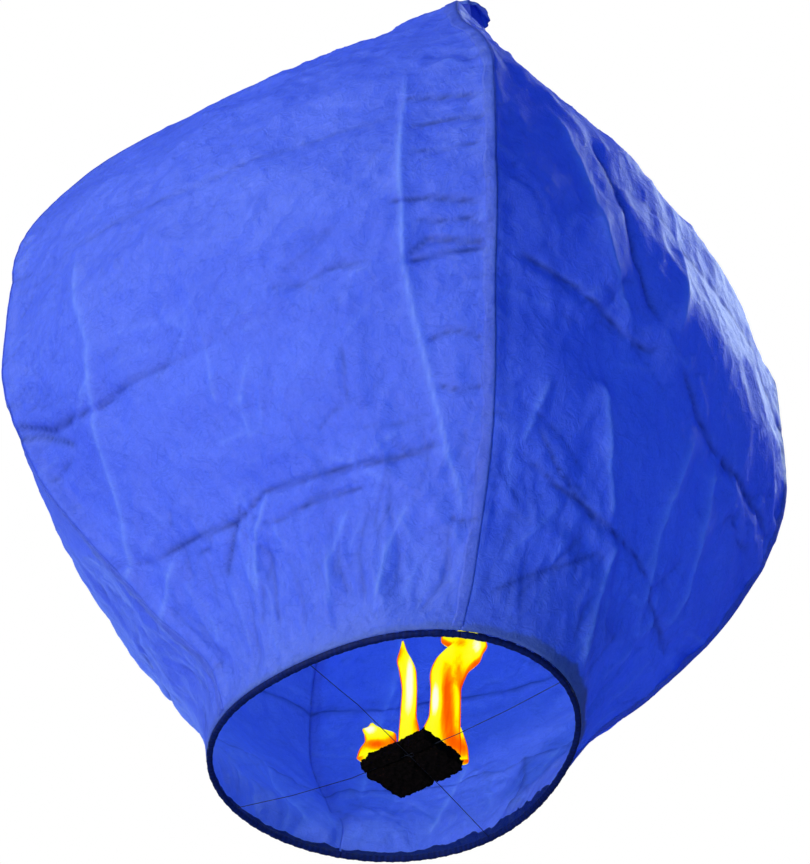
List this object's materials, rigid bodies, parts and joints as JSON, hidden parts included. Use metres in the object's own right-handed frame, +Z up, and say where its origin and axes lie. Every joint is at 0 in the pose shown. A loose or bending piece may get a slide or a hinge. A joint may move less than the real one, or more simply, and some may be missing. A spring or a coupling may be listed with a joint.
{
  "type": "sky lantern",
  "caption": "Tall paper bag of four glued gores on an oval bamboo hoop, open at the mouth, with two crossed wires holding a square fuel pad.",
  "frame": {"origin": "on the lantern's axis, in the plane the paper hem stands on, below the middle of the bag", "axes": "+Z up the lantern from the mouth to the tip; the four glued seams lie over +X, +Y, -X and -Y"},
  "size_m": [0.8846, 0.8866, 1.0676],
  "materials": {
    "gore_paper": "thin dyed tissue paper with fine creases",
    "cap_paper": "gathered and glued tissue paper",
    "bamboo": "split bamboo, satin",
    "thread": "twisted cotton thread",
    "wire": "thin annealed iron wire, dull",
    "fuel": "waxed, charred black"
  },
  "bodies": {
    "frame": {"bamboo_hoop": "bamboo", "hoop_tie_1": "thread", "hoop_tie_2": "thread", "gore_1": "gore_paper", "gore_2": "gore_paper", "gore_3": "gore_paper", "gore_4": "gore_paper", "cross_wire_a": "wire", "cross_wire_b": "wire", "pad_staple": "wire"},
    "crown": {"crown_cap": "cap_paper"},
    "fuel": {"fuel_pad": "fuel"}
  },
  "joints": [
    {"name": "bag_drop", "type": "slide", "parent": "frame", "child": "crown", "axis": [0, 0, -1], "range_m": [0, 0.66], "deforming": ["gore_1", "gore_2", "gore_3", "gore_4"]},
    {"name": "pad_lift", "type": "slide", "parent": "frame", "child": "fuel", "axis": [0, 0, 1], "range_m": [0, 0.05]}
  ]
}
